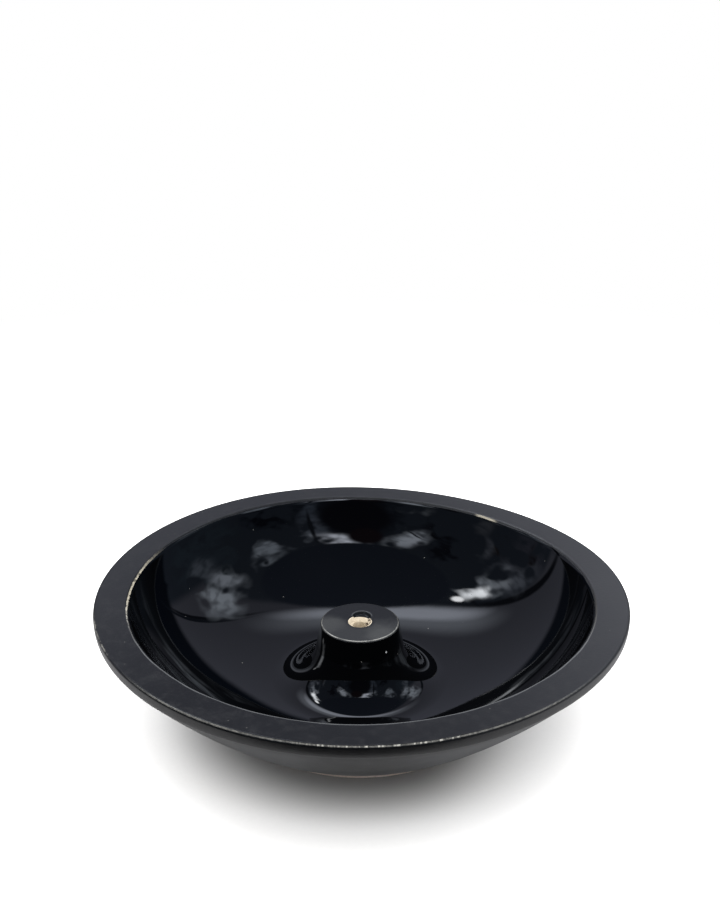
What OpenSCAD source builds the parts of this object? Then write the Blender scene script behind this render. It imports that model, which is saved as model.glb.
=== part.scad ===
// Incense burner: a wide, shallow stoneware bowl with a flat rim and a
// stick post standing in the middle of its floor. The stick stands in the
// post's socket and the ash falls into the hollow around it.
// Origin: the centre of the foot, on the table. +Z is up.

/* [Bowl] */
// Outside diameter at the rim
bowl_d = 131.6; // [120:0.2:150]
// Height from the table to the top of the rim
bowl_h = 32.6; // [31:0.2:35]
// Width of the flat rim
rim_w = 9; // [6:0.1:11]
// Height of the rounded band round the outside of the rim
band_h = 3; // [2.4:0.1:4]
// Depth of the hollow, from the rim down to the middle of the floor
hollow_depth = 25.3; // [22:0.1:26]
// Lean of the hollow's wall at the rim, from the vertical, in degrees
wall_lean = 20; // [10:1:28]

/* [Foot] */
// Outside radius of the foot ring on the table
foot_r = 32; // [26:0.5:35]
// Width of the foot ring
foot_w = 4.5; // [3:0.1:7]
// Height of the foot ring, bare clay
foot_h = 1.8; // [1.2:0.1:2.4]

/* [Stick post] */
// Diameter across the flat top of the post
post_d = 19.5; // [16:0.1:24]
// Distance from the rim's level down to the top of the post
post_drop = 9.3; // [6:0.1:11]
// Taper of the post's side, from the vertical, in degrees
post_taper = 10.4; // [4:0.1:14]
// Radius of the hollow fillet worked round the foot of the post
fillet_r = 11.8; // [5:0.1:12]

/* [Socket] */
// Diameter of the hole that holds the stick
stick_d = 3.6; // [2:0.1:5]
// Depth of the hole, from the top of the post
stick_depth = 9; // [6:0.5:10]
// Diameter of the hole's wiped mouth
mouth_d = 6.1; // [5.6:0.1:8]
// Depth of the wiped mouth
mouth_h = 1.1; // [0.6:0.1:1.6]

/* [Hidden] */
$fn = 96;

rim_r = bowl_d / 2;                  // outside of the rim
well_r = rim_r - rim_w;              // inside of the rim
floor_z = bowl_h - hollow_depth;     // middle of the hollow's floor
post_top = bowl_h - post_drop;       // top of the post
edge_r = 0.7;                        // soft edge between rim and hollow
lip_r = 0.8;                         // soft outer edge of the rim
post_edge = 0.6;                     // soft edge round the post's top
seat_r = post_d / 2 + (post_top - floor_z) * tan(post_taper);

function lerp(a, b, t) = a + (b - a) * t;
function bez3(a, b, c, d, t) =
    lerp(lerp(lerp(a, b, t), lerp(b, c, t), t), lerp(lerp(b, c, t), lerp(c, d, t), t), t);
function bez2(a, b, c, t) = lerp(lerp(a, b, t), lerp(b, c, t), t);
function arc(c, r, a0, a1, n) =
    [for (i = [0:n]) c + r * [cos(lerp(a0, a1, i / n)), sin(lerp(a0, a1, i / n))]];
function rev(v) = [for (i = [len(v) - 1:-1:0]) v[i]];

// Wall and floor of the hollow, from the rim's inner edge to the post's seat.
well_top = [well_r - edge_r * 0.35, bowl_h - edge_r * 0.75];
well_end = [seat_r, floor_z];
well_pts = [for (i = [0:36]) bez3(
    well_top,
    well_top + hollow_depth * 0.66 * [-sin(wall_lean), -cos(wall_lean)],
    well_end + [(well_r - seat_r) * 0.50, 0],
    well_end, i / 36)];
function well_z(r) = lookup(r, [for (p = well_pts) [p.x, p.y]]);

// Underside, from the rim's band down to the foot.
under_top = [rim_r - 0.5, bowl_h - band_h];
under_end = [foot_r + 1.2, foot_h];
under_pts = [for (i = [0:28]) bez2(
    under_top,
    [lerp(under_top.x, under_end.x, 0.47), lerp(under_top.y, under_end.y, 0.59)],
    under_end, i / 28)];

// Fillet: an arc that leaves the post's side and runs out on to the floor.
function side_r(z) = post_d / 2 + (post_top - z) * tan(post_taper);
coil_c = [seat_r + fillet_r / tan(45 + post_taper / 2), floor_z + fillet_r];
coil_pts = [for (p = arc(coil_c, fillet_r, 180 + post_taper, 270, 24))
    [p.x, p.y + well_z(max(p.x, seat_r)) - floor_z]];

// The thrown bowl, with its rim, hollow and rounded underside.
module bowl() {
    color([0.03, 0.03, 0.035])
    rotate_extrude($fn = 192)
    polygon(concat(
        [[0, foot_h]],
        rev(under_pts),
        [[rim_r - 0.06, bowl_h - band_h + 0.9]],
        arc([rim_r - lip_r, bowl_h - lip_r], lip_r, 0, 90, 8),
        arc([well_r + edge_r, bowl_h - edge_r], edge_r, 90, 165, 5),
        well_pts,
        [[0, floor_z]]));
}

// The ring that the bowl stands on, left bare of glaze.
module foot_ring() {
    color([0.50, 0.33, 0.24])
    rotate_extrude($fn = 192)
    polygon([
        [foot_r - foot_w - 0.4, foot_h],
        [foot_r - foot_w, 0.5],
        [foot_r - foot_w + 0.5, 0],
        [foot_r - 0.4, 0],
        [foot_r, 0.35],
        [foot_r + 0.7, foot_h]]);
}

// The post, with its stick hole and the hole's wiped mouth.
module stick_post() {
    color([0.04, 0.04, 0.045])
    difference() {
        rotate_extrude($fn = 128)
        polygon(concat(
            [[0, floor_z], [seat_r, floor_z]],
            arc([side_r(post_top - post_edge) - post_edge, post_top - post_edge],
                post_edge, post_taper, 90, 5),
            [[0, post_top]]));
        translate([0, 0, post_top - stick_depth])
            cylinder(d = stick_d, h = stick_depth + 1, $fn = 64);
        translate([0, 0, post_top - mouth_h])
            cylinder(d1 = stick_d, d2 = mouth_d, h = mouth_h, $fn = 64);
        translate([0, 0, post_top])
            cylinder(d = mouth_d, h = 1, $fn = 64);
    }
}

// The coil of soft clay that fixes the post, smoothed into a fillet.
module luting_coil() {
    color([0.03, 0.03, 0.035])
    rotate_extrude($fn = 128)
    polygon(concat(
        coil_pts,
        [for (p = well_pts) if (p.x < coil_c.x - 0.3 && p.x > seat_r) p],
        [[seat_r, floor_z]]));
}

bowl();
foot_ring();
stick_post();
luting_coil();
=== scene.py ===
import math

import bpy
import numpy as np
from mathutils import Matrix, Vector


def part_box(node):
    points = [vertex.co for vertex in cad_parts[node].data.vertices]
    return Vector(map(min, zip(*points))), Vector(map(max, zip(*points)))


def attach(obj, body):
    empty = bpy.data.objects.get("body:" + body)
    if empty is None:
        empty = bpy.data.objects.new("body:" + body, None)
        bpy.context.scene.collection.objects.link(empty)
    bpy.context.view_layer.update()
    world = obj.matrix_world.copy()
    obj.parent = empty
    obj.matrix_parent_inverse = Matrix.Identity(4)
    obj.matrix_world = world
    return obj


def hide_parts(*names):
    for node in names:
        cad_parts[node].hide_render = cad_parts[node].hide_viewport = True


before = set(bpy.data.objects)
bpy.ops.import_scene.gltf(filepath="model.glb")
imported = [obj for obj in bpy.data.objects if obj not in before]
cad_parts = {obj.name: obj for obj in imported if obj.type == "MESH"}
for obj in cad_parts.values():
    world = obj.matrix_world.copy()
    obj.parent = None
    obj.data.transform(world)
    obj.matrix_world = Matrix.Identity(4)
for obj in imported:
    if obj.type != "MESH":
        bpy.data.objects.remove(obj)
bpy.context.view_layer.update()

MM = 0.001
NA = 768                                   # divisions round the bowl

# ------------------------------------------------------------------ camera
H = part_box("bowl")[1][2] / MM              # rim level
cam_data = bpy.data.cameras.new("camera")
cam_data.lens, cam_data.sensor_width, cam_data.sensor_fit = 50.0, 36.0, "AUTO"
cam_data.clip_start, cam_data.clip_end = 0.01, 60.0
cam = bpy.data.objects.new("camera", cam_data)
cam.location = (0.0, -0.27295, 0.14531 + H * MM)
cam.rotation_euler = (math.radians(90.0 - 21.715), 0.0, 0.0)
bpy.context.scene.collection.objects.link(cam)
bpy.context.scene.camera = cam
bpy.context.scene.view_settings.view_transform = "Standard"
bpy.context.scene.view_settings.look = "None"

# ----------------------------------------------------------------- profile
# The same rules as the solids in the frame, in millimetres, sampled finely.
RIM_R, RIM_W, BAND = 65.0, 8.2, 3.0
WELL_R = RIM_R - RIM_W
DEPTH = 25.3
FLOOR, POST_TOP = H - DEPTH, H - 9.3
EDGE, LIP, POST_EDGE = 0.7, 0.8, 0.6
TAPER = math.radians(10.4)
SEAT = 19.5 / 2 + (POST_TOP - FLOOR) * math.tan(TAPER)
COIL_R = 11.8
FOOT_R, FOOT_W, FOOT_H = 32.0, 4.5, 1.8
MOUTH_R, STICK_R, MOUTH_H, STICK_DEPTH = 2.88, 1.8, 1.1, 9.0


def V(*v):
    return np.array(v, float)


def bez3(a, b, c, d, t):
    t = t[:, None]
    return (1 - t) ** 3 * a + 3 * t * (1 - t) ** 2 * b + 3 * t * t * (1 - t) * c + t ** 3 * d


def bez2(a, b, c, t):
    t = t[:, None]
    return (1 - t) ** 2 * a + 2 * t * (1 - t) * b + t * t * c


def arc(cx, cz, r, a0, a1, n):
    t = np.radians(np.linspace(a0, a1, n))
    return np.c_[cx + r * np.cos(t), cz + r * np.sin(t)]


def line(a, b, n):
    t = np.linspace(0, 1, n)[:, None]
    return V(*a) * (1 - t) + V(*b) * t


def even(p, step):
    """The same path with its points a step apart."""
    s = np.r_[0, np.cumsum(np.hypot(*np.diff(p, axis=0).T))]
    n = max(3, int(round(s[-1] / step)) + 1)
    u = np.linspace(0, s[-1], n)
    return np.c_[np.interp(u, s, p[:, 0]), np.interp(u, s, p[:, 1])]


def smooth(x, a, b):
    t = np.clip((x - a) / (b - a), 0, 1)
    return t * t * (3 - 2 * t)


lean = math.radians(20)
fine = np.linspace(0, 1, 1200)
well_top = V(WELL_R - EDGE * 0.35, H - EDGE * 0.75)
well_all = bez3(
    well_top,
    well_top + DEPTH * 0.66 * V(-math.sin(lean), -math.cos(lean)),
    V(SEAT + (WELL_R - SEAT) * 0.5, FLOOR),
    V(SEAT, FLOOR),
    fine,
)


def well_z(r):
    return np.interp(r, well_all[::-1, 0], well_all[::-1, 1])


coil_cx = SEAT + COIL_R / math.tan((math.pi / 2 + TAPER) / 2)
coil = arc(coil_cx, FLOOR + COIL_R, COIL_R, 270, 180 + math.degrees(TAPER), 400)
coil[:, 1] += well_z(np.maximum(coil[:, 0], SEAT)) - FLOOR
coil_out, coil_top = coil[0], coil[-1]


def side_r(z):
    return 9.75 + (POST_TOP - z) * math.tan(TAPER)


under_top, under_end = V(RIM_R - 0.5, H - BAND), V(FOOT_R + 1.2, FOOT_H)
under = bez2(
    under_end,
    V(
        under_top[0] + (under_end[0] - under_top[0]) * 0.47,
        under_top[1] + (under_end[1] - under_top[1]) * 0.59,
    ),
    under_top,
    fine,
)
well = well_all[well_all[:, 0] > coil_out[0] + 0.01]
bowl_path = np.vstack([
    even(under, 0.5),
    even(bez2(under_top, V(RIM_R + 0.02, H - BAND + 0.15), V(RIM_R, H - LIP), fine), 0.12)[1:],
    arc(RIM_R - LIP, H - LIP, LIP, 0, 90, 22)[1:],
    line((RIM_R - LIP, H), (WELL_R + EDGE, H), 26)[1:],
    arc(WELL_R + EDGE, H - EDGE, EDGE, 90, 165, 14)[1:],
    even(well, 0.42)[1:],
    [coil_out],
])
rim_mid = int(np.argmin(np.hypot(bowl_path[:, 0] - (RIM_R + WELL_R) / 2, bowl_path[:, 1] - H)))
coil_path = even(coil, 0.2)
edge_c = (side_r(POST_TOP - POST_EDGE) - POST_EDGE, POST_TOP - POST_EDGE)
post_path = np.vstack([
    line(coil_top, (edge_c[0] + POST_EDGE * math.cos(TAPER), edge_c[1] + POST_EDGE * math.sin(TAPER)), 34),
    arc(edge_c[0], edge_c[1], POST_EDGE, math.degrees(TAPER), 90, 14)[1:],
    line((edge_c[0], POST_TOP), (MOUTH_R + 0.12, POST_TOP), 56)[1:],
])
mouth_path = np.vstack([
    bez2(V(MOUTH_R + 0.12, POST_TOP), V(MOUTH_R, POST_TOP), V(MOUTH_R - 0.1, POST_TOP - 0.12), np.linspace(0, 1, 6)),
    line((MOUTH_R - 0.1, POST_TOP - 0.12), (STICK_R + 0.1, POST_TOP - MOUTH_H + 0.08), 14)[1:],
    bez2(V(STICK_R + 0.1, POST_TOP - MOUTH_H + 0.08), V(STICK_R, POST_TOP - MOUTH_H), V(STICK_R, POST_TOP - MOUTH_H - 0.2), np.linspace(0, 1, 6))[1:],
    line((STICK_R, POST_TOP - MOUTH_H - 0.2), (STICK_R, POST_TOP - STICK_DEPTH), 14)[1:],
    line((STICK_R, POST_TOP - STICK_DEPTH), (0.0, POST_TOP - STICK_DEPTH), 5)[1:],
])
foot_path = np.vstack([
    bez2(V(FOOT_R - FOOT_W - 0.4, FOOT_H + 0.1), V(FOOT_R - FOOT_W, 0.5), V(FOOT_R - FOOT_W + 0.6, 0.0), np.linspace(0, 1, 10)),
    line((FOOT_R - FOOT_W + 0.6, 0.0), (FOOT_R - 0.5, 0.0), 8)[1:],
    bez2(V(FOOT_R - 0.5, 0.0), V(FOOT_R, 0.0), V(FOOT_R + 0.12, 0.5), np.linspace(0, 1, 8))[1:],
    line((FOOT_R + 0.12, 0.5), (FOOT_R + 0.85, FOOT_H + 0.1), 8)[1:],
])

# ------------------------------------------------------------- hand-made shape
TH = np.arange(NA) * 2 * math.pi / NA
rng = np.random.default_rng(11)
waves = [
    (k, m, rng.uniform(0, 2 * math.pi), rng.uniform(0, 2 * math.pi), rng.normal())
    for k in (0.09, 0.16, 0.27)
    for m in range(1, 8)
]


def shaped(path):
    """The path turned round the axis, with the small unevenness of a thrown bowl."""
    r, z = path[None, :, 0], path[None, :, 1]
    t = TH[:, None]
    far = smooth(r, 32.0, 60.0)
    dr = (
        -0.19 - 0.23 * np.cos(t) - 0.20 * np.cos(2 * t) - 0.30 * np.sin(2 * t)
        + 0.49 * np.cos(3 * t) + 0.03 * np.sin(3 * t) + 0.42 * np.cos(4 * t) - 0.09 * np.sin(4 * t)
    )
    dz = (
        -0.50 + 0.14 * np.cos(2 * t) + 0.07 * np.sin(2 * t)
        + 0.21 * np.cos(3 * t) + 0.26 * np.sin(3 * t)
    )
    x = (r + dr * far) * np.cos(t)
    y = (r + dr * far) * np.sin(t)
    z = z + dz * far
    # soft undulation under the glaze, none at the foot or on the post's top
    lift = 0.0
    for k, m, pa, pb, amp in waves:
        lift = lift + amp * np.sin(k * r + pa) * np.cos(m * t + pb) / m ** 0.5
    body = smooth(r, 11.0, 16.0) * (1 - smooth(r, 53.0, 56.0)) * (z > 5)
    z = z + 0.006 * lift * body
    return np.stack(np.broadcast_arrays(x, y, z), -1)


def normals(p):
    """Outward normals of a turned grid."""
    du = np.roll(p, -1, 0) - np.roll(p, 1, 0)
    dv = np.gradient(p, axis=1)
    n = np.cross(dv, du)
    size = np.linalg.norm(n, axis=2, keepdims=True)
    return -n / np.maximum(size, 1e-12)


def piece(name, grid, normal, seen, materials, slots, path, body="root"):
    """A closed turned mesh. seen says which bands keep the smooth normals. The profile's
    own radius and height, before any unevenness, go in the UV map for the materials."""
    na, m = grid.shape[:2]
    pole = [np.ptp(grid[:, i, :2], axis=0).max() < 1e-6 for i in range(m)]
    index = np.empty((na, m), int)
    verts, at = [], 0
    for i in range(m):
        if pole[i]:
            verts.append(grid[:1, i])
            index[:, i] = at
            at += 1
        else:
            verts.append(grid[:, i])
            index[:, i] = np.arange(at, at + na)
            at += na
    co = np.vstack(verts) * MM
    nxt = np.roll(index, -1, 0)
    nn = np.roll(normal, -1, 0)
    loops, sizes, mats, norms, uvs = [], [], [], [], []
    for i in range(m - 1):
        if pole[i] and pole[i + 1]:
            continue
        if pole[i]:
            f = np.stack([index[:, i], index[:, i + 1], nxt[:, i + 1]], 1)
            q = np.stack([normal[:, i], normal[:, i + 1], nn[:, i + 1]], 1)
        elif pole[i + 1]:
            f = np.stack([index[:, i], index[:, i + 1], nxt[:, i]], 1)
            q = np.stack([normal[:, i], normal[:, i + 1], nn[:, i]], 1)
        else:
            f = np.stack([index[:, i], index[:, i + 1], nxt[:, i + 1], nxt[:, i]], 1)
            q = np.stack([normal[:, i], normal[:, i + 1], nn[:, i + 1], nn[:, i]], 1)
        w = {3: (i + 1, i + 1, i) if pole[i] else (i, i + 1, i), 4: (i, i + 1, i + 1, i)}[f.shape[1]]
        uvs.append(np.tile(path[list(w)][::-1], (len(f), 1)))
        f, q = f[:, ::-1], q[:, ::-1]
        if not seen[i]:
            q = np.zeros_like(q)
        loops.append(f.ravel())
        norms.append(q.reshape(-1, 3))
        sizes.append(np.full(len(f), f.shape[1]))
        mats.append(np.full(len(f), slots[i]))
    loops, sizes = np.concatenate(loops), np.concatenate(sizes)
    me = bpy.data.meshes.new(name)
    me.vertices.add(len(co))
    me.vertices.foreach_set("co", co.astype(np.float32).ravel())
    me.loops.add(len(loops))
    me.loops.foreach_set("vertex_index", loops.astype(np.int32))
    me.polygons.add(len(sizes))
    me.polygons.foreach_set("loop_start", np.r_[0, np.cumsum(sizes)[:-1]].astype(np.int32))
    me.update(calc_edges=True)
    for mat in materials:
        me.materials.append(mat)
    me.polygons.foreach_set("material_index", np.concatenate(mats).astype(np.int32))
    me.polygons.foreach_set("use_smooth", np.ones(len(sizes), bool))
    uv = me.uv_layers.new(name="profile")
    uv.data.foreach_set("uv", (np.concatenate(uvs) * MM).astype(np.float32).ravel())
    me.validate()
    me.normals_split_custom_set(np.concatenate(norms).astype(np.float32))
    o = bpy.data.objects.new(name, me)
    bpy.context.scene.collection.objects.link(o)
    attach(o, body)
    return o


# --------------------------------------------------------------- materials
class Graph:
    """A material's nodes, made and joined by short calls."""

    def __init__(self, name):
        self.mat = bpy.data.materials.new(name)
        self.mat.use_nodes = True
        self.tree = self.mat.node_tree
        self.bsdf = self.tree.nodes["Principled BSDF"]
        self.pos = self.node("ShaderNodeTexCoord").outputs["Object"]
        sep = self.node("ShaderNodeSeparateXYZ", Vector=self.pos)
        self.x, self.y, self.z = sep.outputs
        xx, yy = self.math("MULTIPLY", self.x, self.x), self.math("MULTIPLY", self.y, self.y)
        self.r = self.math("SQRT", self.math("ADD", xx, yy))
        uv = self.node("ShaderNodeTexCoord").outputs["UV"]
        self.pr, self.pz = self.node("ShaderNodeSeparateXYZ", Vector=uv).outputs[:2]

    def node(self, kind, props=None, **inputs):
        n = self.tree.nodes.new(kind)
        for k, v in (props or {}).items():
            setattr(n, k, v)
        for k, v in inputs.items():
            self.put(n.inputs[k.replace("_", " ")], v)
        return n

    def put(self, socket, v):
        if isinstance(v, bpy.types.NodeSocket):
            self.tree.links.new(v, socket)
        else:
            socket.default_value = v

    def math(self, op, a, b=None, c=None, clamp=False):
        n = self.tree.nodes.new("ShaderNodeMath")
        n.operation, n.use_clamp = op, clamp
        for s, v in zip(n.inputs, (a, b, c)):
            if v is not None:
                self.put(s, v)
        return n.outputs[0]

    def ramp(self, v, a, b, lo=0.0, hi=1.0):
        n = self.tree.nodes.new("ShaderNodeMapRange")
        n.interpolation_type = "SMOOTHSTEP"
        for s, w in zip(n.inputs, (v, a, b, lo, hi)):
            self.put(s, w)
        return n.outputs[0]

    def noise(self, scale, detail=3.0, rough=0.5, where=None, squash=None):
        vec = where or self.pos
        if squash:
            vec = self.node("ShaderNodeMapping", Vector=vec, Scale=squash).outputs[0]
        return self.node("ShaderNodeTexNoise", Vector=vec, Scale=scale, Detail=detail, Roughness=rough).outputs["Fac"]

    def cells(self, scale):
        n = self.node("ShaderNodeTexVoronoi", Vector=self.pos, Scale=scale)
        return n.outputs["Distance"], n.outputs["Color"]

    def mix(self, fac, a, b):
        n = self.tree.nodes.new("ShaderNodeMix")
        n.data_type = "RGBA"
        self.put(n.inputs[0], fac)
        self.put(n.inputs[6], a)
        self.put(n.inputs[7], b)
        return n.outputs[2]

    def blend(self, fac, a, b):
        n = self.tree.nodes.new("ShaderNodeMix")
        n.data_type = "FLOAT"
        self.put(n.inputs[0], fac)
        self.put(n.inputs[2], a)
        self.put(n.inputs[3], b)
        return n.outputs[0]

    def bump(self, height, distance, strength=1.0, normal=None):
        n = self.node("ShaderNodeBump", Strength=strength, Distance=distance, Height=height)
        if normal is not None:
            self.put(n.inputs["Normal"], normal)
        return n.outputs["Normal"]

    def finish(self, color, rough, normal=None, **plain):
        self.put(self.bsdf.inputs["Base Color"], color)
        self.put(self.bsdf.inputs["Roughness"], rough)
        if normal is not None:
            self.put(self.bsdf.inputs["Normal"], normal)
        for k, v in plain.items():
            self.bsdf.inputs[k.replace("_", " ")].default_value = v
        return self.mat


def rgb(r, g, b):
    return (r, g, b, 1.0)


def specks(g, scale, size, wear_and_highlight_share):
    """Small grains: one in some cells of a Voronoi pattern."""
    dist, color = g.cells(scale)
    pick = g.node("ShaderNodeSeparateColor", Color=color).outputs[0]
    return g.math("MULTIPLY", g.ramp(dist, size, size * 0.6), g.math("LESS_THAN", pick, wear_and_highlight_share))


def gloss_parts(g):
    """Colour, roughness and bump of the poured black glaze."""
    slow, mid = g.noise(45.0, 3.0), g.noise(260.0, 2.0)
    color = g.mix(slow, rgb(0.0004, 0.00045, 0.0006), rgb(0.0011, 0.00115, 0.0014))
    dust = specks(g, 330.0, 0.06, 0.12)
    color = g.mix(dust, color, rgb(0.07, 0.068, 0.065))
    rough = g.math("ADD", g.ramp(slow, 0.35, 0.7, 0.018, 0.045), g.math("MULTIPLY", dust, 0.4))
    normal = g.bump(mid, 0.000010, 0.5)
    return color, rough, normal


def satin_parts(g):
    """Colour, roughness and bump of the dry satin glaze, with a painted sheen in its colour."""
    slow, grain = g.noise(55.0, 4.0, 0.6), g.noise(1500.0, 3.0, 0.6)
    # painted sheen: lighter at the two sides, most at the right, and toward the back, darkest at the front, with some
    # random variation
    u, v = g.math("MULTIPLY", g.x, 1 / 0.065), g.math("MULTIPLY", g.y, 1 / 0.065)
    painted_sheen = g.math("ADD", g.math("MULTIPLY", u, 0.30), g.math("MULTIPLY", g.math("MULTIPLY", u, u), 0.38))
    painted_sheen = g.math("ADD", painted_sheen, g.math("MULTIPLY", g.math("ADD", v, 1.0), 0.20))
    painted_sheen = g.math("ADD", painted_sheen, g.math("MULTIPLY", g.math("SUBTRACT", slow, 0.5), 0.14), clamp=True)
    color = g.mix(painted_sheen, rgb(0.0011, 0.0011, 0.0012), rgb(0.0232, 0.0240, 0.0265))
    cloud = g.ramp(g.noise(420.0, 4.0, 0.65), 0.45, 0.75)
    color = g.mix(g.math("MULTIPLY", cloud, 0.22), color, rgb(0.022, 0.022, 0.0225))
    pits = specks(g, 520.0, 0.10, 0.13)
    color = g.mix(g.math("MULTIPLY", pits, 0.8), color, rgb(0.060, 0.058, 0.054))
    rough = g.ramp(slow, 0.3, 0.7, 0.29, 0.37)
    normal = g.bump(grain, 0.00006, 0.4)
    return color, rough, normal


def rim_wear_and_highlights(g, color, rough, wob):
    """Thin glaze and painted highlights on the rim's two edges: unglazed clay on the left, small chip marks and painted
    glints at the front.
    """
    turn = g.noise(900.0, 3.0, 0.7)
    # inner edge: unglazed clay on the left, a weak painted highlight line at the front, a painted glint at the
    # right-hand back
    left = g.math("MULTIPLY", g.ramp(g.x, -0.034, -0.054), g.ramp(g.math("ABSOLUTE", g.math("SUBTRACT", g.y, 0.001)), 0.024, 0.006))
    glint = g.math("MULTIPLY", g.ramp(g.math("ABSOLUTE", g.math("SUBTRACT", g.x, 0.0350)), 0.0032, 0.0015), g.ramp(g.y, 0.010, 0.020))
    wear_and_highlight_share = g.math("MAXIMUM", g.math("MULTIPLY", left, g.ramp(turn, 0.36, 0.56)), g.ramp(g.y, 0.004, -0.030, 0.0, 0.15))
    wear_and_highlight_share = g.math("MAXIMUM", wear_and_highlight_share, g.math("MULTIPLY", glint, 0.7))
    # the same edge shows a little further out at the front, where only its top is seen
    place = g.ramp(g.y, 0.004, -0.030, 0.056840, 0.057400)
    off = g.math("ABSOLUTE", g.math("SUBTRACT", g.math("ADD", g.pr, wob), place))
    worn_and_highlight = g.math("MULTIPLY", g.math("MULTIPLY", g.ramp(off, 0.00022, 0.00010), g.math("GREATER_THAN", g.pz, (H - 0.72) * MM)), wear_and_highlight_share)
    # clay colour on the left, the painted highlight's cool grey at the front
    color = g.mix(worn_and_highlight, color, g.mix(g.ramp(g.y, 0.0, -0.03), rgb(0.36, 0.33, 0.26), rgb(0.34, 0.355, 0.37)))
    rough = g.blend(worn_and_highlight, rough, 0.7)
    # outer edge: a narrow painted highlight line, small light marks at the front that are partly chip marks and partly
    # painted glints, a stretch at the left that is partly unglazed and partly painted highlight
    line_out = g.math("MULTIPLY", g.ramp(g.pr, 0.06452, 0.06462), g.ramp(g.pz, (H - 0.36) * MM, (H - 0.26) * MM))
    chips_and_glints = g.math("MULTIPLY", g.ramp(g.noise(1.0, 1.0, 0.5, squash=(1250.0, 60.0, 60.0)), 0.50, 0.60), g.ramp(g.math("ABSOLUTE", g.math("SUBTRACT", g.x, 0.005)), 0.024, 0.010))
    front = g.ramp(g.y, -0.040, -0.058)
    bare_and_highlit = g.math("MULTIPLY", g.ramp(g.math("ABSOLUTE", g.math("SUBTRACT", g.y, -0.021)), 0.012, 0.004), g.ramp(g.x, -0.040, -0.055))
    chipped_and_glinting = g.math("MULTIPLY", line_out, g.math("MAXIMUM", g.math("MULTIPLY", chips_and_glints, front), g.math("MULTIPLY", bare_and_highlit, g.ramp(turn, 0.42, 0.60, 0.0, 0.5))))
    painted_edge_highlight = g.math("MULTIPLY", line_out, g.math("MULTIPLY", g.ramp(turn, 0.35, 0.65, 0.10, 0.34), g.ramp(g.y, -0.036, -0.052)))
    color = g.mix(g.math("MAXIMUM", chipped_and_glinting, painted_edge_highlight), color, rgb(0.26, 0.255, 0.23))
    return color, g.blend(chipped_and_glinting, rough, 0.6)


def make_outer_material():
    g = Graph("black_glaze_satin")
    color, rough, normal = satin_parts(g)
    wob = g.math("MULTIPLY", g.math("SUBTRACT", g.noise(120.0, 2.0), 0.5), 0.0005)
    # a scuffed patch low on the front
    at = g.node("ShaderNodeVectorMath", {"operation": "DISTANCE"})
    g.put(at.inputs[0], g.pos)
    at.inputs[1].default_value = (-0.0135, -0.0505, (H - 15.5) * MM)
    scuff = g.math("MULTIPLY", g.ramp(at.outputs["Value"], 0.012, 0.003), g.ramp(g.noise(900.0, 4.0, 0.7), 0.47, 0.62))
    color = g.mix(g.math("MULTIPLY", scuff, 0.5), color, rgb(0.10, 0.10, 0.098))
    # under the band, a painted reflection: lighter at the right-hand front, standing in for the lit table mirrored
    # there; a lighter patch at the left front
    low = g.ramp(g.pz, (H - 3.2) * MM, (H - 5.5) * MM)
    right_front_reflection = g.math("MULTIPLY", g.ramp(g.x, 0.002, 0.022), g.ramp(g.y, 0.010, -0.020))
    color = g.mix(g.math("MULTIPLY", g.math("MULTIPLY", low, right_front_reflection), 0.85), color, rgb(0.088, 0.090, 0.096))
    patch = g.ramp(g.math("ABSOLUTE", g.math("ADD", g.x, 0.019)), 0.013, 0.004)
    patch = g.math("MULTIPLY", g.math("MULTIPLY", low, patch), g.ramp(g.y, -0.010, -0.030))
    color = g.mix(g.math("MULTIPLY", patch, 0.6), color, rgb(0.074, 0.076, 0.080))
    color, rough = rim_wear_and_highlights(g, color, rough, wob)
    return g.finish(color, rough, normal, IOR=1.5)


def make_inner_material():
    g = Graph("black_glaze_hollow")
    gc, gr, gn = gloss_parts(g)
    sc, sr, sn = satin_parts(g)
    wob = g.math("MULTIPLY", g.math("SUBTRACT", g.noise(120.0, 2.0), 0.5), 0.0005)
    glossy = g.ramp(g.math("ADD", g.pr, wob), 0.05680, 0.05662)
    color, rough = g.mix(glossy, sc, gc), g.blend(glossy, sr, gr)
    nrm = g.node("ShaderNodeMix", {"data_type": "VECTOR"})
    g.put(nrm.inputs[0], glossy); g.put(nrm.inputs[4], sn); g.put(nrm.inputs[5], gn)
    color, rough = rim_wear_and_highlights(g, color, rough, wob)
    return g.finish(color, rough, nrm.outputs[1], IOR=1.5)


def make_coil_material():
    g = Graph("black_glaze_fillet")
    return g.finish(*gloss_parts(g), IOR=1.5)


def make_post_side_material():
    g = Graph("black_glaze_post")
    color, rough, normal = gloss_parts(g)
    # painted glint: a tiny light dot on the post's side
    at = g.node("ShaderNodeVectorMath", {"operation": "DISTANCE"})
    g.put(at.inputs[0], g.pos)
    at.inputs[1].default_value = (0.0064, -0.00826, (POST_TOP - 3.8) * MM)
    glint_and_soot_spot = g.ramp(at.outputs["Value"], 0.00034, 0.00018)
    color = g.mix(glint_and_soot_spot, color, rgb(0.30, 0.31, 0.32))
    return g.finish(color, g.blend(glint_and_soot_spot, rough, 0.5), normal, IOR=1.5, Specular_IOR_Level=0.15)


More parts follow.
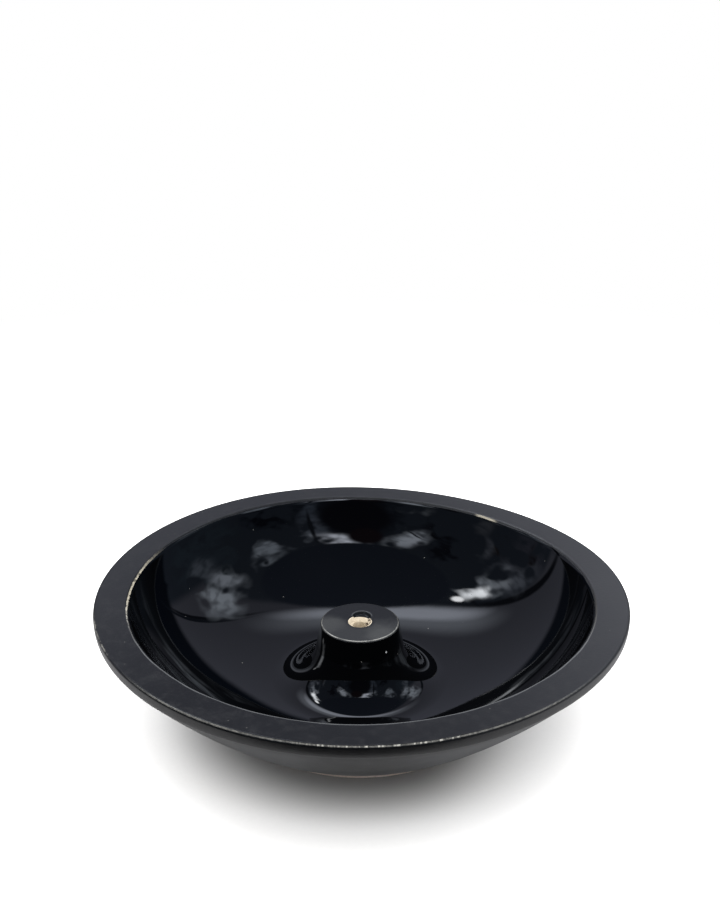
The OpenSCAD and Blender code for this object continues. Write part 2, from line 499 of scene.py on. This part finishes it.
def make_post_top_material():
    g = Graph("black_glaze_post_top")
    color, rough, normal = satin_parts(g)
    # painted sheen: darker on the far side of the hole, lightest at the left and the right-hand front
    mottle = g.math("MULTIPLY", g.math("SUBTRACT", g.noise(300.0, 4.0, 0.6), 0.5), 0.004)
    color = g.mix(g.ramp(g.math("ADD", g.y, mottle), 0.0028, -0.0022), rgb(0.0026, 0.0028, 0.0030), rgb(0.0115, 0.0120, 0.0125))
    for px, py, size, sheen_tone in ((-0.0075, -0.0010, 0.0052, 0.0200), (0.0052, -0.0062, 0.0055, 0.0245)):
        at = g.node("ShaderNodeVectorMath", {"operation": "DISTANCE"})
        g.put(at.inputs[0], g.pos)
        at.inputs[1].default_value = (px, py, POST_TOP * MM)
        color = g.mix(g.ramp(g.math("ADD", at.outputs["Value"], mottle), size, size * 0.3), color, rgb(sheen_tone * 0.96, sheen_tone, sheen_tone))
    ring = g.ramp(g.math("ABSOLUTE", g.math("SUBTRACT", g.r, 0.00335)), 0.00035, 0.0001)
    color = g.mix(g.math("MULTIPLY", ring, 0.6), color, rgb(0.002, 0.002, 0.002))
    # painted highlight along the far edge of the dip behind the hole
    at = g.node("ShaderNodeVectorMath", {"operation": "DISTANCE"})
    g.put(at.inputs[0], g.node("ShaderNodeCombineXYZ", X=g.x, Y=g.y).outputs[0])
    at.inputs[1].default_value = (0.00045, 0.00295, 0.0)
    pit_edge_highlight = g.math("MULTIPLY", g.ramp(g.math("ABSOLUTE", g.math("SUBTRACT", at.outputs["Value"], 0.00248)), 0.00022, 0.00008), g.ramp(g.y, 0.0022, 0.0032))
    color = g.mix(g.math("MULTIPLY", pit_edge_highlight, 0.8), color, rgb(0.030, 0.032, 0.034))
    # light line round the top's edge: worn glaze all round, with a painted highlight growing toward the front
    line = g.ramp(g.math("ABSOLUTE", g.math("SUBTRACT", g.r, 0.00952)), 0.00017, 0.00006)
    ragged = g.ramp(g.noise(500.0, 3.0, 0.6), 0.30, 0.62, 0.35, 1.0)
    front_highlight = g.ramp(g.y, 0.007, -0.009, 0.12, 1.0)
    worn_and_highlight = g.math("MULTIPLY", g.math("MULTIPLY", line, ragged), front_highlight)
    color = g.mix(worn_and_highlight, color, rgb(0.17, 0.17, 0.16))
    return g.finish(color, g.blend(worn_and_highlight, rough, 0.45), normal, IOR=1.5)


def make_clay_material(name, light, dark, soot, glint_and_soot_spot=None):
    g = Graph(name)
    slow, grain = g.noise(160.0, 4.0, 0.6), g.noise(1800.0, 4.0, 0.65)
    color = g.mix(g.ramp(slow, 0.3, 0.7), light, dark)
    color = g.mix(g.ramp(grain, 0.52, 0.72), color, tuple(0.72 * c for c in dark[:3]) + (1.0,))
    spots = specks(g, 900.0, 0.22, 0.12)
    color = g.mix(spots, color, soot)
    if glint_and_soot_spot:
        at = g.node("ShaderNodeVectorMath", {"operation": "DISTANCE"})
        g.put(at.inputs[0], g.pos)
        at.inputs[1].default_value = glint_and_soot_spot
        near = g.math("MULTIPLY", g.ramp(at.outputs["Value"], 0.0014, 0.0006), g.ramp(g.noise(1500.0, 3.0, 0.6), 0.46, 0.54))
        color = g.mix(near, color, rgb(0.022, 0.013, 0.008))
    rough = g.ramp(grain, 0.3, 0.7, 0.78, 0.92)
    return g.finish(color, rough, g.bump(grain, 0.00012, 0.6), Specular_IOR_Level=0.25)


outer_mat, inner_mat = make_outer_material(), make_inner_material()
coil_mat, post_mat, top_mat = make_coil_material(), make_post_side_material(), make_post_top_material()
socket_mat = make_clay_material("bare_clay_socket", rgb(0.46, 0.42, 0.34), rgb(0.33, 0.27, 0.19), rgb(0.035, 0.02, 0.012), glint_and_soot_spot=(0.0021, 0.0007, (POST_TOP - 0.6) * MM))
foot_mat = make_clay_material("bare_clay_foot", rgb(0.80, 0.70, 0.62), rgb(0.70, 0.58, 0.49), rgb(0.20, 0.14, 0.11))

# ------------------------------------------------------------------ pieces
whole = np.vstack([bowl_path, coil_path[1:], post_path[1:], mouth_path[1:]])
grid = shaped(whole)
nb, nc, npst = len(bowl_path), len(bowl_path) + len(coil_path) - 1, len(bowl_path) + len(coil_path) + len(post_path) - 2


def dent(g):
    """The glazed dip behind the stick hole."""
    x, y, z = g[..., 0], g[..., 1], g[..., 2]
    r = np.hypot(x, y)
    on_top = (z > POST_TOP - 0.3) & (r < 9.6)
    q = np.hypot((x - 0.45) / 2.35, (y - 2.95) / 2.45)
    pit = 0.75 * (1 - smooth(q, 0.72, 1.0))
    z = z - np.where(on_top, pit * smooth(r, 2.6, 3.2), 0)
    return np.stack([x, y, z], -1)


grid = dent(grid)
norm = normals(grid)
# the pole at the bottom of the stick hole faces up
norm[:, -1] = (0, 0, 1)


def closed(path, visible, normal, hidden_before, hidden_after):
    """A visible stretch of the grid with its hidden side, so that the piece is a solid."""
    ends = [np.array(p, float).reshape(-1, 2) for p in (hidden_before, hidden_after)]
    cols = [turned(ends[0]), visible, turned(ends[1])]
    g = np.concatenate(cols, 1)
    n = np.concatenate([np.zeros_like(cols[0]), normal, np.zeros_like(cols[2])], 1)
    first = len(ends[0])
    seen = [first <= i < first + visible.shape[1] - 1 for i in range(g.shape[1] - 1)]
    return g, n, seen, np.vstack([ends[0], path, ends[1]])


def turned(path):
    path = np.array(path, float)
    return np.stack([
        path[None, :, 0] * np.cos(TH)[:, None],
        path[None, :, 0] * np.sin(TH)[:, None],
        np.broadcast_to(path[None, :, 1], (NA, len(path))),
    ], -1)


# bowl: underside disc inside the foot, then round the outside, rim and hollow
base = [(0.0, FOOT_H + 0.45), (12.0, FOOT_H + 0.40), (22.0, FOOT_H + 0.15), (FOOT_R - FOOT_W - 0.9, FOOT_H), (FOOT_R, FOOT_H)]
seam = bowl_path[-1]
under_coil = [(seam[0], seam[1] - 0.4), (SEAT, FLOOR - 0.4), (0.0, FLOOR - 0.4)]
g, n, seen, uvp = closed(whole[:nb], grid[:, :nb], norm[:, :nb], base, under_coil)
inside = len(base) + rim_mid
bowl = piece("bowl_body", g, n, seen, [outer_mat, inner_mat], [int(i >= inside) for i in range(g.shape[1] - 1)], uvp)
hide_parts("bowl")

g, n, seen, uvp = closed(whole[nb - 1:nc], grid[:, nb - 1:nc], norm[:, nb - 1:nc], [(SEAT + 0.2, FLOOR - 0.3), (seam[0] - 0.05, seam[1] - 0.3)], [(coil_top[0] - 0.25, coil_top[1]), (SEAT + 0.2, FLOOR - 0.3)])
coil_o = piece("post_fillet", g, n, seen, [coil_mat], [0] * (g.shape[1] - 1), uvp)
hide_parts("luting_coil")

g, n, seen, uvp = closed(whole[nc - 1:], grid[:, nc - 1:], norm[:, nc - 1:], [(0.0, FLOOR - 0.3), (SEAT - 0.2, FLOOR - 0.3), (coil_top[0] - 0.2, coil_top[1] - 0.1)], [])
first_clay = 3 + (npst - nc) + 1
first_top = 3 + 34 + 1
post = piece("stick_post_body", g, n, seen, [post_mat, top_mat, socket_mat], [int(i >= first_top) + int(i >= first_clay) for i in range(g.shape[1] - 1)], uvp)
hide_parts("stick_post")

fg = turned(foot_path)
fn = normals(fg)
g, n, seen, uvp = closed(foot_path, fg, fn, [(FOOT_R + 0.85, FOOT_H + 0.1)], [])
foot = piece("foot_ring_body", g, n, seen, [foot_mat], [0] * (g.shape[1] - 1), uvp)
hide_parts("foot_ring")

# ------------------------------------------------------------------- stage
S = 4.4


def sheet(name, z, mat):
    me = bpy.data.meshes.new(name)
    me.from_pydata([(-S, -S, z), (S, -S, z), (S, S, z), (-S, S, z)], [], [(0, 1, 2, 3)])
    me.materials.append(mat)
    o = bpy.data.objects.new(name, me)
    bpy.context.scene.collection.objects.link(o)
    return o


g = Graph("pale_table")
paper = g.noise(900.0, 2.0)
paint = g.mix(paper, rgb(0.88, 0.875, 0.865), rgb(0.91, 0.905, 0.895))
# painted shadow round the foot, fading out toward the right
painted_contact_shadow = g.math("MULTIPLY", g.ramp(g.r, 0.052, 0.030), g.ramp(g.x, 0.042, 0.012))
g.finish(g.mix(painted_contact_shadow, paint, rgb(0.22, 0.22, 0.22)), g.ramp(paper, 0.2, 0.8, 0.55, 0.65), Specular_IOR_Level=0.1)
glow = g.node("ShaderNodeEmission", Strength=1.0)
join = g.tree.nodes.new("ShaderNodeMixShader")
g.put(join.inputs[0], g.ramp(g.r, 0.16, 0.40))
g.put(join.inputs[1], g.bsdf.outputs[0])
g.put(join.inputs[2], glow.outputs[0])
g.put(g.tree.nodes["Material Output"].inputs["Surface"], join.outputs[0])
table = sheet("table", 0.0, g.mat)
table.visible_glossy = table.visible_diffuse = table.visible_shadow = table.visible_transmission = False

# The table as the glaze mirrors it: light close to the bowl, painted dark as shade further out and in front.
g = Graph("mirrored_table")
paper = g.noise(900.0, 2.0)
near = g.math("MULTIPLY", g.ramp(g.r, 0.40, 0.12), g.ramp(g.y, -0.100, -0.084))
g.finish(g.mix(near, rgb(0.02, 0.02, 0.022), rgb(0.33, 0.33, 0.335)), g.ramp(paper, 0.2, 0.8, 0.7, 0.8), Specular_IOR_Level=0.0)
mirrored = sheet("table_in_glaze", -0.0002, g.mat)
mirrored.visible_camera = False

# A pale shell behind everything, so that any view has a plain background.
DOME = 4.6
bm_verts, bm_faces = [], []
for i in range(13):
    for j in range(48):
        e, a = math.radians(-8 + 98 * i / 12), 2 * math.pi * j / 48
        bm_verts.append((DOME * math.cos(e) * math.cos(a), DOME * math.cos(e) * math.sin(a), DOME * math.sin(e)))
for i in range(12):
    for j in range(48):
        k = (j + 1) % 48
        bm_faces.append((i * 48 + j, i * 48 + k, (i + 1) * 48 + k, (i + 1) * 48 + j))
me = bpy.data.meshes.new("backdrop")
me.from_pydata(bm_verts, [], bm_faces)
mat = bpy.data.materials.new("white_backdrop")
mat.use_nodes = True
mat.node_tree.nodes.clear()
em = mat.node_tree.nodes.new("ShaderNodeEmission")
em.inputs[1].default_value = 1.0
mo = mat.node_tree.nodes.new("ShaderNodeOutputMaterial")
mat.node_tree.links.new(em.outputs[0], mo.inputs[0])
me.materials.append(mat)
shell = bpy.data.objects.new("backdrop", me)
bpy.context.scene.collection.objects.link(shell)
shell.visible_glossy = shell.visible_diffuse = shell.visible_shadow = shell.visible_transmission = False

# ------------------------------------------------------------- studio light
# The room that the glaze mirrors, painted on the sky. Places are in degrees
# from straight up: u to the right (+X), v away from the front (+Y).
world = bpy.data.worlds.new("studio")
bpy.context.scene.world = world
world.use_nodes = True
wt = world.node_tree
wt.nodes.clear()


def wnode(kind, props=None, **inputs):
    n = wt.nodes.new(kind)
    for k, v in (props or {}).items():
        setattr(n, k, v)
    for k, v in inputs.items():
        s = n.inputs[k.replace("_", " ")]
        if isinstance(v, bpy.types.NodeSocket):
            wt.links.new(v, s)
        else:
            s.default_value = v
    return n


def wmath(op, a, b=None, clamp=False):
    n = wt.nodes.new("ShaderNodeMath")
    n.operation, n.use_clamp = op, clamp
    for s, v in zip(n.inputs, (a, b)):
        if v is None:
            continue
        if isinstance(v, bpy.types.NodeSocket):
            wt.links.new(v, s)
        else:
            s.default_value = v
    return n.outputs[0]


sky = wnode("ShaderNodeTexCoord").outputs["Generated"]
sx, sy, sz = wnode("ShaderNodeSeparateXYZ", Vector=sky).outputs
flat = wmath("SQRT", wmath("ADD", wmath("MULTIPLY", sx, sx), wmath("MULTIPLY", sy, sy)))
ang = wmath("MULTIPLY", wmath("ARCTAN2", flat, sz), 180.0 / math.pi)
k = wmath("DIVIDE", ang, wmath("MAXIMUM", flat, 1e-5))
plane = wnode("ShaderNodeCombineXYZ", X=wmath("MULTIPLY", sx, k), Y=wmath("MULTIPLY", sy, k)).outputs[0]
sky_color = None


blur = wnode("ShaderNodeTexNoise", Vector=sky, Scale=3.6, Detail=2.0, Roughness=0.5).outputs["Color"]
shift = wnode("ShaderNodeVectorMath", {"operation": "SUBTRACT"})
wt.links.new(blur, shift.inputs[0])
shift.inputs[1].default_value = (0.5, 0.5, 0.5)
gain = wnode("ShaderNodeVectorMath", {"operation": "SCALE"}, Scale=9.0)
wt.links.new(shift.outputs[0], gain.inputs[0])
add = wnode("ShaderNodeVectorMath", {"operation": "ADD"})
wt.links.new(plane, add.inputs[0])
wt.links.new(gain.outputs[0], add.inputs[1])
ragged_plane = add.outputs[0]
streak = wnode("ShaderNodeMapping", Vector=sky, Scale=(9.0, 9.0, 20.0)).outputs[0]
grainy = wnode("ShaderNodeTexNoise", Vector=streak, Scale=1.0, Detail=1.6, Roughness=0.5).outputs["Fac"]
spread = wnode("ShaderNodeMapRange", {"interpolation_type": "SMOOTHSTEP"}, Value=grainy)
for socket, value in zip(spread.inputs[1:5], (0.30, 0.58, 0.45, 1.0)):
    socket.default_value = value
mottle = spread.outputs[0]


def layer(u, v, a, b, turn, color, soft=0.25, square=False, ragged=False):
    """Paints one soft patch over what is there. a and b are its half sizes, in degrees."""
    global sky_color
    m = wnode("ShaderNodeMapping", {"vector_type": "TEXTURE"}, Vector=ragged_plane if ragged else plane, Location=(u, v, 0), Rotation=(0, 0, math.radians(turn)), Scale=(a, b, 1))
    if square:
        part = wnode("ShaderNodeSeparateXYZ", Vector=m.outputs[0]).outputs
        q = wmath("MAXIMUM", wmath("ABSOLUTE", part[0]), wmath("ABSOLUTE", part[1]))
    else:
        far = wnode("ShaderNodeVectorMath", {"operation": "LENGTH"})
        wt.links.new(m.outputs[0], far.inputs[0])
        q = far.outputs["Value"]
    f = wnode("ShaderNodeMapRange", {"interpolation_type": "SMOOTHSTEP"}, Value=q)
    f.inputs[1].default_value, f.inputs[2].default_value = 1 + soft, 1 - soft
    fac = wmath("MULTIPLY", f.outputs[0], mottle) if ragged else f.outputs[0]
    mixn = wt.nodes.new("ShaderNodeMix")
    mixn.data_type = "RGBA"
    mixn.clamp_factor = True
    wt.links.new(fac, mixn.inputs[0])
    if sky_color is None:
        mixn.inputs[6].default_value = (0.075, 0.10, 0.145, 1)
    else:
        wt.links.new(sky_color, mixn.inputs[6])
    mixn.inputs[7].default_value = (*color, 1)
    sky_color = mixn.outputs[2]


# backdrop paper behind the bowl, brightest along its top edge
layer(-14, 74, 68, 49, -2, (0.27, 0.285, 0.36), 0.05, square=True)
layer(-9, 34, 22, 7.0, 3, (1.15, 1.25, 1.45), 0.60)
layer(-9, 30.5, 19, 4.0, 3, (2.9, 3.1, 3.6), 0.55)
# what lies past the paper's lower edge
layer(-66.8, 114.4, 60, 60, 24.6, (0.010, 0.017, 0.032), 0.03, square=True)
layer(49.1, 116.9, 60, 60, -22.8, (0.002, 0.008, 0.020), 0.03, square=True)
layer(65.6, 69.6, 17, 20, -43.3, (0.001, 0.006, 0.020), 0.08, square=True)
# edges of the paper
layer(-56, 29.6, 30, 2.4, -10, (0.010, 0.014, 0.024), 0.4)
layer(-30, 21.0, 1.1, 5.0, 10, (0.03, 0.04, 0.06), 0.5)
layer(37, 41.5, 19, 1.1, 33, (0.012, 0.018, 0.03), 0.4)
layer(40, 45.5, 19, 0.9, 33, (0.02, 0.03, 0.05), 0.4)
# left wall and window
layer(-74, 13, 22, 14, 0, (0.16, 0.175, 0.24), 0.30, ragged=True)
layer(-57, 15.5, 14, 11, 8, (0.62, 0.70, 0.86), 0.55, ragged=True)
layer(-44, 14.0, 16, 7, 14, (1.9, 2.1, 2.4), 0.45, ragged=True)
layer(-35.5, 16.5, 7.5, 4.2, 14, (14.0, 14.5, 15.2), 0.6, ragged=True)
layer(-25.8, 20.1, 2.4, 1.7, 20, (14.0, 14.2, 14.6), 0.4)
layer(-73, 14, 12, 5.0, -3, (0.030, 0.025, 0.035), 0.35, ragged=True)
layer(-68, -5, 8, 3.2, 12, (0.05, 0.035, 0.03), 0.4, ragged=True)
layer(-60, -10, 8, 6, 30, (0.50, 0.55, 0.68), 0.6, ragged=True)
layer(-73, -22, 7, 5, 30, (0.25, 0.28, 0.34), 0.6, ragged=True)
# right wall
layer(66, 8, 20, 26, 0, (0.10, 0.145, 0.20), 0.3, ragged=True)
layer(38.5, 26, 13, 8, -50, (2.1, 2.35, 2.7), 0.50, ragged=True)
layer(44, 15, 9, 7.5, 0, (1.9, 2.1, 2.45), 0.55, ragged=True)
layer(60, 16, 7, 9, 30, (0.45, 0.53, 0.66), 0.6, ragged=True)
layer(49, 8, 4, 2.6, 0, (0.10, 0.14, 0.18), 0.5, ragged=True)
layer(38.5, -13, 12, 7.5, -75, (1.4, 1.6, 1.9), 0.50, ragged=True)
layer(31.5, -26, 13, 6.5, 60, (1.5, 1.7, 2.05), 0.55, ragged=True)
layer(38, -5, 4.5, 1.4, -30, (0.05, 0.07, 0.10), 0.5, ragged=True)
layer(55, -37, 16, 10, 20, (0.003, 0.007, 0.022), 0.35, ragged=True)
# behind the camera
layer(0, -66, 60, 30, 0, (0.03, 0.045, 0.07), 0.3, ragged=True)
layer(-29, -31, 13, 6.0, 6, (3.0, 3.3, 3.8), 0.50, ragged=True)
layer(9, -31.5, 12, 5.0, -10, (6.4, 6.8, 7.8), 0.60, ragged=True)
layer(24, -44, 12, 8, -55, (0.42, 0.5, 0.66), 0.5, ragged=True)
layer(31, -56, 5, 9, -15, (0.30, 0.38, 0.52), 0.5, ragged=True)
layer(-33, -35, 0.9, 8, 25, (0.12, 0.14, 0.18), 0.5, ragged=True)
layer(26, -42, 1.3, 15, 25, (0.03, 0.04, 0.06), 0.5)
layer(0, -56, 24, 19, 0, (0.003, 0.003, 0.014), 0.22)
layer(-5, -36, 9.5, 8, 0, (0.03, 0.010, 0.016), 0.25)
layer(-41, -14, 10, 11, 0, (0.006, 0.008, 0.022), 0.25, ragged=True)
layer(-46, -28, 6, 14, 15, (0.008, 0.010, 0.025), 0.35, ragged=True)
layer(-42, -55, 11, 4, -28, (0.55, 0.62, 0.72), 0.5, ragged=True)
# the ceiling straight above
layer(1, -0.5, 31.5, 28.0, 0, (0.052, 0.072, 0.118), 0.04)

bg = wnode("ShaderNodeBackground", Color=sky_color, Strength=1.0)
wo = wt.nodes.new("ShaderNodeOutputWorld")
wt.links.new(bg.outputs[0], wo.inputs[0])

# A wide soft light overhead that the mirror-like glaze doesn't show.
ld = bpy.data.lights.new("overhead", "AREA")
ld.shape, ld.size, ld.size_y, ld.energy = "RECTANGLE", 6.0, 6.0, 350.0
ld.color = (1.0, 0.985, 0.96)
lo_ = bpy.data.objects.new("overhead", ld)
lo_.location = (0.0, 0.0, 1.6)
lo_.visible_glossy = False
lo_.visible_camera = False
bpy.context.scene.collection.objects.link(lo_)
